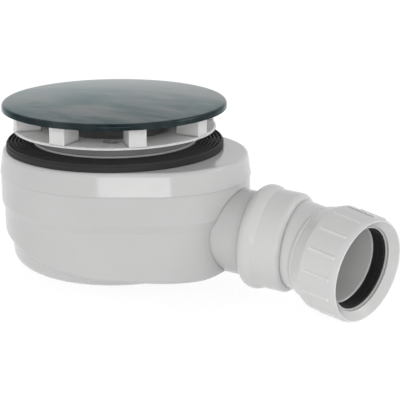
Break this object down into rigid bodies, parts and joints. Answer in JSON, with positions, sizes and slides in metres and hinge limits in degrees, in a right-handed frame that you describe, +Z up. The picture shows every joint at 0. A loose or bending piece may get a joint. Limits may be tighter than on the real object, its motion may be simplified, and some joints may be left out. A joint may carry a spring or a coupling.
{
  "type": "shower trap",
  "caption": "Flat shower trap for a tray waste hole: domed cover on legs, clamping flange, rubber seal, round trap body with a dip tube, and a side outlet bend with a union nut.",
  "frame": {"origin": "on the waste axis at the plane of the seal's ridges, which is the underside of the shower tray", "axes": "+Z up the waste axis through the cover, +X the way the outlet spigot leaves the body (it falls slightly), +Y to the left seen along +X"},
  "size_m": [0.2202, 0.124, 0.0983],
  "materials": {
    "cover_finish": "gloss",
    "white_plastic": "satin",
    "body_plastic": "satin",
    "outlet_plastic": "satin",
    "nut_plastic": "satin",
    "insert_plastic": "satin",
    "slip_plastic": "matte",
    "stainless": "polished",
    "brass": "turned",
    "black_rubber": "matte",
    "ring_rubber": "matte",
    "sleeve_rubber": "matte"
  },
  "bodies": {
    "trap": {"cover_plate": "cover_finish", "cover_carrier": "white_plastic", "waste_flange": "white_plastic", "locating_ring": "white_plastic", "flange_screws": "stainless", "tray_seal": "black_rubber", "trap_lid": "body_plastic", "trap_bowl": "body_plastic", "screw_inserts": "brass", "dip_tube": "insert_plastic", "dip_tube_ring": "ring_rubber"},
    "bend": {"outlet_bend": "outlet_plastic", "socket_lip_seal": "ring_rubber"},
    "sleeve": {"pipe_seal": "sleeve_rubber", "slip_ring": "slip_plastic"},
    "nut": {"compression_nut": "nut_plastic"}
  },
  "joints": [
    {"name": "bend_swivel", "type": "hinge", "parent": "trap", "child": "bend", "pos_m": [0.09182, 0, -0.04257], "axis": [0.9981, 0, -0.0621], "continuous": true},
    {"name": "sleeve_slide", "type": "slide", "parent": "bend", "child": "sleeve", "axis": [0.955, -0.2793, -0.0998], "range_m": [0, 0.012]},
    {"name": "nut_turn", "type": "hinge", "parent": "sleeve", "child": "nut", "pos_m": [0.13734, -0.00838, -0.04662], "axis": [0.955, -0.2793, -0.0998], "range_deg": [0, 1080]}
  ],
  "couplings": [
    {"joint": "nut_turn", "follows": "sleeve_slide", "rad_per_m": 1570.8}
  ]
}
